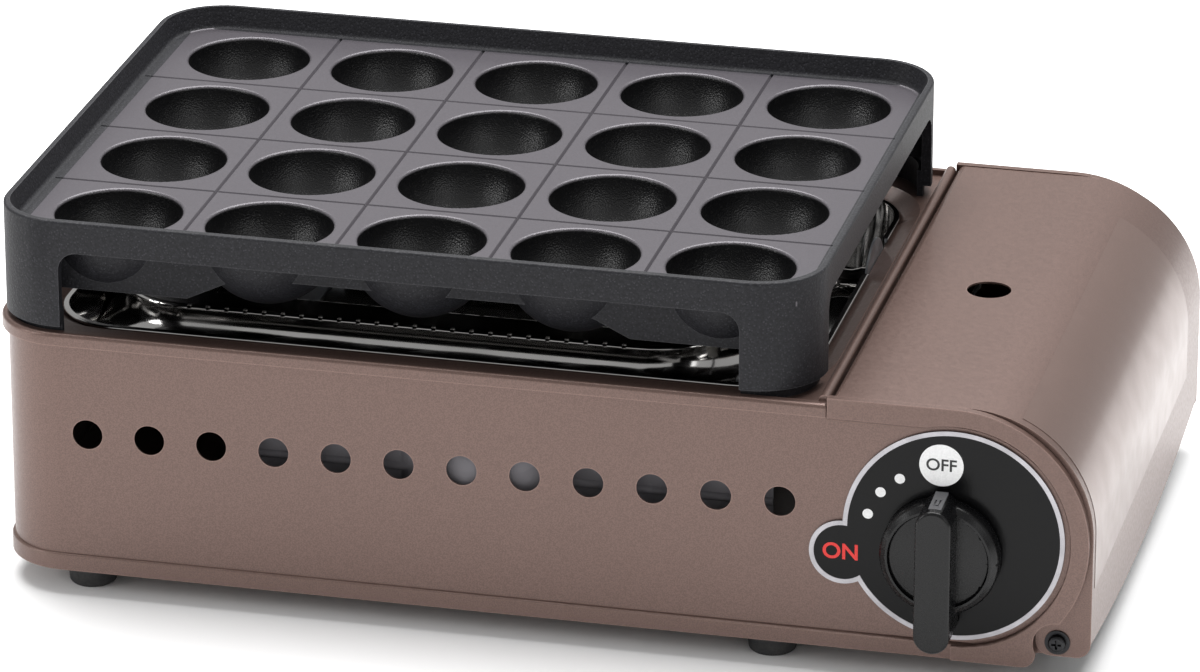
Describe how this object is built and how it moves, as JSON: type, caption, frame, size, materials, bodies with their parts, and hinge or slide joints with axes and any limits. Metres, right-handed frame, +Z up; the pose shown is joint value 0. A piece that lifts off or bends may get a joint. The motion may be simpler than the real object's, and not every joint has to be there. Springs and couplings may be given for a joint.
{
  "type": "takoyaki maker",
  "caption": "Countertop gas takoyaki cooker: sheet-steel body with ring burner, lift-off cast cup plate on legs, hinged canister cover and rotary ignition knob.",
  "frame": {"origin": "under the middle of the overall bounding box, on the surface the feet stand on", "axes": "+X along the long side to the right (towards the canister bay), front with the knob faces -Y, +Z up"},
  "size_m": [0.41, 0.2618, 0.1475],
  "materials": {
    "body_paint": "metallic taupe-bronze baked paint, satin",
    "foot_rubber": "black moulded rubber",
    "zinc_screws": "bright zinc-plated screws",
    "galvanised": "bare galvanised sheet",
    "polished_steel": "mirror-like plated steel",
    "brass": "turned brass",
    "die_cast": "die-cast alloy",
    "conductor": "plain aluminium strip",
    "black_plastic": "black heat-resistant plastic, satin",
    "lead_sleeve": "woven heat-proof sleeve on the spark lead",
    "ceramic": "glazed white ceramic",
    "dial_black": "black dial face",
    "dial_silver": "silver border of the dial",
    "pointer_grey": "grey index",
    "label_film": "plain clear film",
    "black_screws": "black-oxide screws and washers",
    "coated_casting": "cast aluminium, non-stick coated, rough outside"
  },
  "bodies": {
    "base": {"body_shell": "body_paint", "top_frame": "body_paint", "bottom_plate": "body_paint", "rubber_feet": "foot_rubber", "foot_screws": "zinc_screws", "partition_wall": "body_paint", "inner_shield": "galvanised", "drip_tray": "polished_steel", "burner_base": "polished_steel", "burner_cap": "polished_steel", "burner_stands": "galvanised", "mixing_tube": "polished_steel", "tube_flange": "galvanised", "nozzle_holder": "brass", "gas_pipe": "polished_steel", "pipe_nuts": "brass", "valve_body": "die_cast", "valve_bracket": "galvanised", "governor": "die_cast", "magnet_ring": "galvanised", "canister_cradle": "galvanised", "heat_plate": "conductor", "piezo_igniter": "black_plastic", "ignition_lead": "lead_sleeve", "electrode_ceramic": "ceramic", "electrode_wire": "polished_steel", "electrode_bracket": "galvanised", "dial_plate": "dial_black", "dial_ring": "dial_silver", "pivot_screws": "black_screws", "pivot_washers": "black_screws"},
    "cover": {"canister_cover": "body_paint", "cover_label": "label_film"},
    "knob": {"knob_body": "black_plastic", "knob_pointer": "pointer_grey", "valve_spindle": "polished_steel"},
    "plate": {"takoyaki_plate": "coated_casting"}
  },
  "joints": [
    {"name": "cover_hinge", "type": "hinge", "parent": "base", "child": "cover", "pos_m": [0.1929, 0.0091, 0.0197], "axis": [0, 1, 0], "range_deg": [0, 90]},
    {"name": "knob_turn", "type": "hinge", "parent": "base", "child": "knob", "pos_m": [0.1509, -0.1123, 0.0513], "axis": [0, -1, 0], "range_deg": [0, 105]},
    {"name": "plate_lift", "type": "slide", "parent": "base", "child": "plate", "axis": [0, 0, 1], "range_m": [0, 0.12]}
  ]
}
